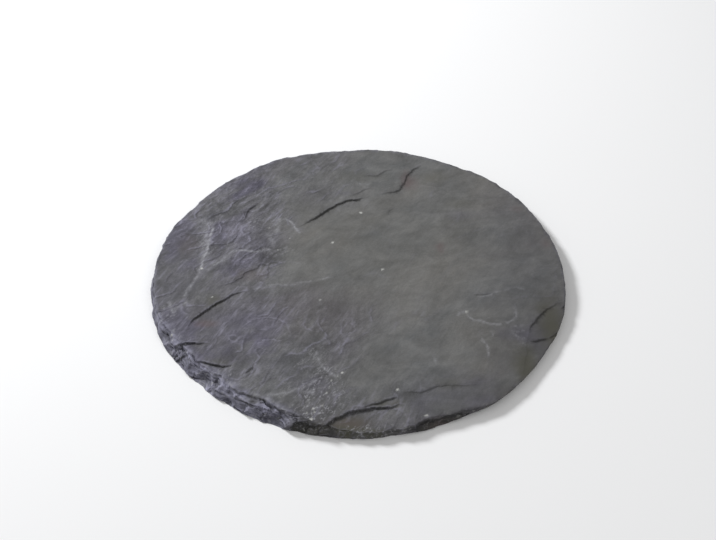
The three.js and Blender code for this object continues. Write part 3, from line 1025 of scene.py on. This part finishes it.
def slate_material():
    nodes = Nodes("riven_slate")
    broken = nodes.attribute("broken")
    rough = nodes.attribute("rough")

    # Noises, from broad clouds to single grains, mostly drawn out along the lineation
    cloud = nodes.noise(nodes.stretched(45, (11, 20, 11)), 4, 0.55, 0.6)
    blotch = nodes.noise(nodes.warped(48, (36, 72, 55), 0.02), 5, 0.62, 0.3)
    mottle = nodes.noise(nodes.warped(58, (80, 200, 160), 0.012), 4, 0.62, 0.3)
    speckle = nodes.noise(nodes.warped(60, (260, 520, 450), 0.008), 3, 0.6, 0.4)
    smudge = nodes.noise(nodes.warped(8, (34, 60, 50), 0.02), 5, 0.62, 0.5)
    fibre = nodes.noise(nodes.warped(63, (50, 400, 90), 0.010), 3, 0.6)
    grain = nodes.noise(nodes.stretched(0, (900, 900, 900)), 3, 0.6)
    patches = nodes.noise(nodes.warped(0, (110, 110, 300), 0.01), 4, 0.6)
    layers = nodes.noise(nodes.warped(0, (25, 25, 520), 0.002), 4, 0.7)

    # The cleaved ground: its colours, then the swing of each noise on smooth and rough ground
    tone = nodes.mix(nodes.span(cloud, 0.36, 0.62), COOL_SLATE, WARM_SLATE)
    tone = nodes.mix(nodes.span(blotch, 0.4, 0.6, 0.0, 0.6), tone, SLATE)
    lilac = nodes.math("ADD", nodes.attribute("lilac"), nodes.times(rough, 0.6), True)
    lilac = nodes.times(lilac, nodes.span(cloud, 0.44, 0.56, 0.35, 1.15), True)
    tone = nodes.mix(lilac, tone, LILAC_SLATE)
    for noise_in, weak, strong in [
            (blotch, 0.6, 2.2), (smudge, 1.1, 0.6), (mottle, 0.35, 1.5), (fibre, 0.1, 0.6),
            (speckle, 0.35, 1.3), (grain, 0.35, 1.1)]:
        centred = nodes.math("SUBTRACT", noise_in, 0.5)
        swing = nodes.times(centred, nodes.span(rough, 0, 1, weak, strong))
        tone = nodes.dim(tone, nodes.math("ADD", swing, 1.0))
    # Painted shade: rough ground, which lies mostly at the left, darkened where the light falls off
    tone = nodes.dim(tone, nodes.span(rough, 0.05, 0.6, 1.0, 0.84))

    # Pale fibres, then a painted shadow at the foot and a painted highlight on the lip of each thin sheet
    flecks = nodes.times(nodes.span(fibre, 0.54, 0.68), nodes.span(rough, 0.1, 0.6, 0.0, 0.65))
    tone = nodes.mix(nodes.times(flecks, nodes.span(blotch, 0.42, 0.6)), tone, PALE_LILAC_AND_HIGHLIGHT)
    tone = nodes.mix(nodes.times(nodes.attribute("foot"), 0.65, True), tone, PAINTED_SHADE_TONE)
    lip = nodes.times(nodes.attribute("lip"), nodes.span(mottle, 0.42, 0.62, 0.05, 0.75), True)
    tone = nodes.mix(lip, tone, PALE_LILAC_AND_HIGHLIGHT)

    # The broken stone of the edge and of the bare ground; its paleness round the edge is partly painted
    # light and shade
    fresh = nodes.mix(nodes.attribute("pale_break_and_light"), DARK_BREAK_AND_SHADE, PALE_BREAK)
    for noise_in, dark, light in [(patches, 0.55, 1.45), (mottle, 0.75, 1.25), (layers, 0.5, 1.5)]:
        fresh = nodes.dim(fresh, nodes.span(noise_in, 0.35, 0.65, dark, light))
    fleck = nodes.times(nodes.span(speckle, 0.54, 0.64), nodes.span(patches, 0.45, 0.6, 0.0, 0.6))
    fresh = nodes.mix(fleck, fresh, FLECK)
    fresh = nodes.dim(fresh, nodes.span(nodes.attribute("low"), 0.5, 0.9, 1.0, 0.85))
    tone = nodes.mix(nodes.times(broken, 0.9), tone, fresh)

    # Painted shade patches and stains, paler raised ground, painted shade in hollows and on step faces,
    # frosting, bruises with some painted highlights, and specks
    # Painted shade patches first, then olive and rust stains
    for name, patch_colour in [("shade", PAINTED_SHADE_TONE), ("olive", OLIVE), ("rust", RUST)]:
        tone = nodes.mix(nodes.times(nodes.attribute(name), 1.0, True), tone, patch_colour)
    raised = nodes.span(nodes.attribute("ridge"), 0.2, 1.0)
    raised = nodes.times(raised, nodes.span(rough, 0.0, 1.0, 0.1, 0.55))
    raised = nodes.times(raised, nodes.span(mottle, 0.4, 0.6, 0.3, 1.0))
    tone = nodes.mix(raised, tone, PALE_LILAC_AND_HIGHLIGHT)
    # Painted shade in hollows and on the faces of split steps
    sunk_shade = nodes.times(nodes.span(nodes.attribute("hollow"), 0.4, 1.0), 0.4)
    sunk_shade = nodes.math("MAXIMUM", sunk_shade, nodes.times(nodes.attribute("step_face_shade"), 0.92))
    tone = nodes.mix(sunk_shade, tone, RECESS_SHADE)
    frost = nodes.times(nodes.attribute("frost"), 0.68, True)
    frost = nodes.times(frost, nodes.span(speckle, 0.52, 0.66))
    tone = nodes.mix(nodes.times(frost, nodes.span(grain, 0.4, 0.55)), tone, BRUISED_AND_HIGHLIGHT)
    # Bruises, and the painted highlights among them
    patchy = nodes.span(speckle, 0.35, 0.6, 0.45, 1.1)
    tone = nodes.mix(nodes.times(nodes.attribute("bruise"), patchy, True), tone, BRUISED_AND_HIGHLIGHT)
    tone = nodes.mix(nodes.attribute("speck"), tone, CRYSTAL)
    nodes.finish("Base Color", tone)

    # A dull surface, finely riven and pitted
    roughness = nodes.span(blotch, 0.3, 0.7, 0.62, 0.75)
    roughness = nodes.math("ADD", roughness, nodes.times(broken, 0.12))
    nodes.finish("Roughness", roughness)
    nodes.finish("Specular IOR Level", 0.25)
    fine = nodes.noise(nodes.warped(50, (350, 700, 700), 0.01), 5, 0.65)
    pits = nodes.noise(nodes.stretched(0, (1500, 1500, 1500)), 3, 0.6)
    nodes.finish("Normal", nodes.bump(pits, 0.00005, nodes.bump(fine, 0.00010)))
    return nodes.material


# ---- stage, light and camera

def floor_material():
    nodes = Nodes("pale_floor")
    nodes.finish("Base Color", (0.86, 0.86, 0.86, 1))
    nodes.finish("Roughness", 0.9)
    nodes.finish("Specular IOR Level", 0.1)
    return nodes.material


def build_floor():
    corners = [(FLOOR_HALF * x, FLOOR_HALF * y, 0) for x, y in ((-1, -1), (1, -1), (1, 1), (-1, 1))]
    mesh = bpy.data.meshes.new("floor")
    mesh.from_pydata(corners, [], [(0, 1, 2, 3)])
    mesh.materials.append(floor_material())
    floor = new_object("floor", mesh)


def soft_light(name, place, size, watts, colour):
    """A round soft light that faces the slab's middle."""
    light = bpy.data.lights.new(name, "AREA")
    light.shape = "DISK"
    light.size = size
    light.energy = watts
    light.color = colour
    lamp = new_object(name, light)
    lamp.location = place
    lamp.rotation_euler = (-Vector(place)).to_track_quat("-Z", "Y").to_euler()


def build_light():
    scene = bpy.context.scene
    world = bpy.data.worlds.new("studio")
    world.use_nodes = True
    sky = world.node_tree.nodes["Background"]
    sky.inputs["Color"].default_value = (1, 1, 1, 1)
    sky.inputs["Strength"].default_value = ROOM_LIGHT
    scene.world = world
    soft_light("key", **KEY_LIGHT)
    soft_light("fill", **FILL_LIGHT)
    scene.view_settings.view_transform = "Standard"
    scene.view_settings.look = "None"


def build_camera():
    lens = bpy.data.cameras.new("camera")
    lens.lens = LENS
    lens.sensor_width = SENSOR_WIDTH
    lens.sensor_fit = "HORIZONTAL"
    camera = new_object("camera", lens)
    tilt = math.radians(ELEVATION)
    camera.location = Vector(TARGET) + DISTANCE * Vector((0, -math.cos(tilt), math.sin(tilt)))
    camera.rotation_euler = (math.radians(90) - tilt, 0, 0)
    bpy.context.scene.camera = camera


build_camera()
build_light()
build_floor()

slate = build_slab()
slate.data.materials.clear()
slate.data.materials.append(slate_material())
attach(slate, "root")
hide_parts(NODE)
